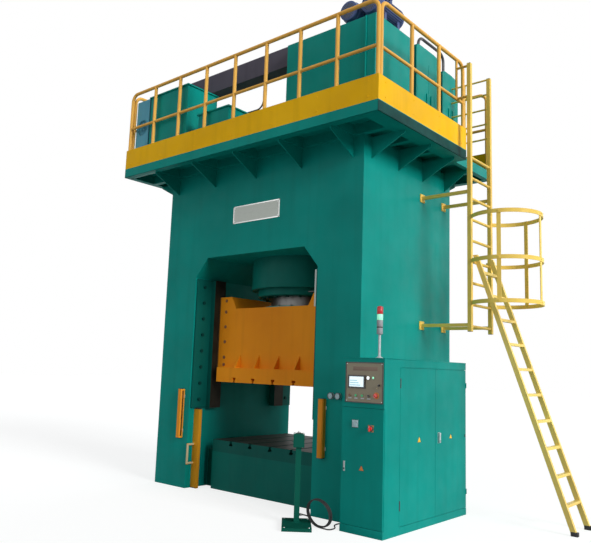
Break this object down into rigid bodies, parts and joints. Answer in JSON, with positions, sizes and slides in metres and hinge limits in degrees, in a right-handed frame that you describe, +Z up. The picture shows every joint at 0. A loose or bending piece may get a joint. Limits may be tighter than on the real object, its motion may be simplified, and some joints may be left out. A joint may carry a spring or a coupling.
{
  "type": "hydraulic press",
  "caption": "Large hydraulic press with a portal frame, guided slide, top cylinder, service platform with tanks, caged ladder and a side control cabinet.",
  "frame": {"origin": "on the floor at the centre of the press, under the slide and the main cylinder", "axes": "+X to the right as the operator faces the press, +Y from the front to the rear, +Z up along the slide's travel"},
  "size_m": [5.92, 3.4341, 6.385],
  "materials": {
    "green_paint": "semi-gloss enamel, blue-green",
    "orange_paint": "semi-gloss enamel, orange",
    "yellow_paint": "semi-gloss enamel, yellow",
    "rail_paint": "semi-gloss enamel, pale yellow",
    "blue_paint": "semi-gloss enamel, light blue",
    "motor_paint": "semi-gloss enamel, dark blue",
    "duct_paint": "matt enamel, dark grey",
    "machined_steel": "ground and oiled",
    "dark_steel": "blackened",
    "hard_chrome": "hard chromed and ground",
    "bronze": "machined bronze",
    "plate_aluminium": "brushed, bare",
    "panel_plate": "satin, light grey",
    "gauge_case": "polished case with a white dial",
    "grey_plastic": "satin, dark grey",
    "white_plastic": "gloss, white",
    "green_plastic": "gloss, green",
    "red_plastic": "gloss, red",
    "black_plastic": "gloss, black",
    "black_cable": "matt, black"
  },
  "bodies": {
    "press": {"press_frame": "green_paint", "press_bed": "green_paint", "bolster_plate": "machined_steel", "main_cylinder": "green_paint", "gland_ring": "dark_steel", "press_bolts": "dark_steel", "front_left_gib": "green_paint", "front_right_gib": "green_paint", "rear_left_gib": "green_paint", "rear_right_gib": "green_paint", "position_scale": "plate_aluminium", "nameplate": "plate_aluminium", "left_light_curtain": "yellow_paint", "right_light_curtain": "yellow_paint", "safety_prop": "yellow_paint", "pressure_gauges": "gauge_case", "ejector_cylinder": "dark_steel", "platform_frame": "green_paint", "deck_plate": "green_paint", "toe_board": "yellow_paint", "front_handrail": "rail_paint", "left_handrail": "rail_paint", "right_handrail": "rail_paint", "rear_handrail": "rail_paint", "access_ladder": "rail_paint", "ladder_cage": "rail_paint", "lower_ladder": "rail_paint", "oil_tank": "green_paint", "reserve_tank": "green_paint", "oil_cooler": "blue_paint", "valve_chest": "green_paint", "overflow_duct": "duct_paint", "front_pump_cover": "green_paint", "rear_pump_cover": "green_paint", "pump_motors": "motor_paint", "return_pipes": "dark_steel", "cabinet_shell": "green_paint", "switchgear_plate": "grey_plastic", "control_panel": "panel_plate", "touch_screen": "white_plastic", "signal_tower": "grey_plastic", "control_pedestal": "green_paint", "cable_lead": "black_cable", "cable_coil": "black_cable", "cable_tail": "black_cable"},
    "slide": {"press_slide": "orange_paint", "guide_shoes": "bronze", "plunger": "hard_chrome"},
    "ejector_rod": {"ejector_rod": "machined_steel"},
    "front_door": {"front_door": "green_paint"},
    "front_side_door": {"front_side_door": "green_paint"},
    "rear_side_door": {"rear_side_door": "green_paint"},
    "push_button_1": {"push_button_1": "green_plastic"},
    "push_button_2": {"push_button_2": "black_plastic"},
    "push_button_3": {"push_button_3": "white_plastic"},
    "push_button_4": {"push_button_4": "red_plastic"},
    "emergency_stop": {"emergency_stop": "red_plastic"},
    "selector_switch": {"selector_switch": "black_plastic"},
    "main_switch": {"main_switch": "red_plastic"},
    "pedestal_button": {"pedestal_button": "white_plastic"}
  },
  "joints": [
    {"name": "slide_travel", "type": "slide", "parent": "press", "child": "slide", "axis": [0, 0, 1], "range_m": [-0.65, 0.06]},
    {"name": "ejector_lift", "type": "slide", "parent": "press", "child": "ejector_rod", "axis": [0, 0, 1], "range_m": [0, 0.15]},
    {"name": "front_door_hinge", "type": "hinge", "parent": "press", "child": "front_door", "pos_m": [2.29, -1.375, 0.68], "axis": [0, 0, 1], "range_deg": [0, 110]},
    {"name": "front_side_door_hinge", "type": "hinge", "parent": "press", "child": "front_side_door", "pos_m": [2.294, -1.06, 0.9], "axis": [0, 0, -1], "range_deg": [0, 110]},
    {"name": "rear_side_door_hinge", "type": "hinge", "parent": "press", "child": "rear_side_door", "pos_m": [2.294, 0.456, 0.9], "axis": [0, 0, 1], "range_deg": [0, 75]},
    {"name": "push_button_1_press", "type": "slide", "parent": "press", "child": "push_button_1", "axis": [0, 1, 0], "range_m": [0, 0.004], "stiffness_N_per_m": 400, "springref_m": -0.004},
    {"name": "push_button_2_press", "type": "slide", "parent": "press", "child": "push_button_2", "axis": [0, 1, 0], "range_m": [0, 0.004], "stiffness_N_per_m": 400, "springref_m": -0.004},
    {"name": "push_button_3_press", "type": "slide", "parent": "press", "child": "push_button_3", "axis": [0, 1, 0], "range_m": [0, 0.004], "stiffness_N_per_m": 400, "springref_m": -0.004},
    {"name": "push_button_4_press", "type": "slide", "parent": "press", "child": "push_button_4", "axis": [0, 1, 0], "range_m": [0, 0.004], "stiffness_N_per_m": 400, "springref_m": -0.004},
    {"name": "emergency_stop_press", "type": "slide", "parent": "press", "child": "emergency_stop", "axis": [0, 1, 0], "range_m": [0, 0.005]},
    {"name": "selector_turn", "type": "hinge", "parent": "press", "child": "selector_switch", "pos_m": [2.235, -1.39, 1.524], "axis": [0, 1, 0], "range_deg": [-45, 45]},
    {"name": "main_switch_turn", "type": "hinge", "parent": "front_door", "child": "main_switch", "pos_m": [2.134, -1.39, 1.079], "axis": [0, 1, 0], "range_deg": [0, 90]},
    {"name": "pedestal_button_press", "type": "slide", "parent": "press", "child": "pedestal_button", "axis": [0, 0, -1], "range_m": [0, 0.004], "stiffness_N_per_m": 800, "springref_m": -0.004}
  ]
}
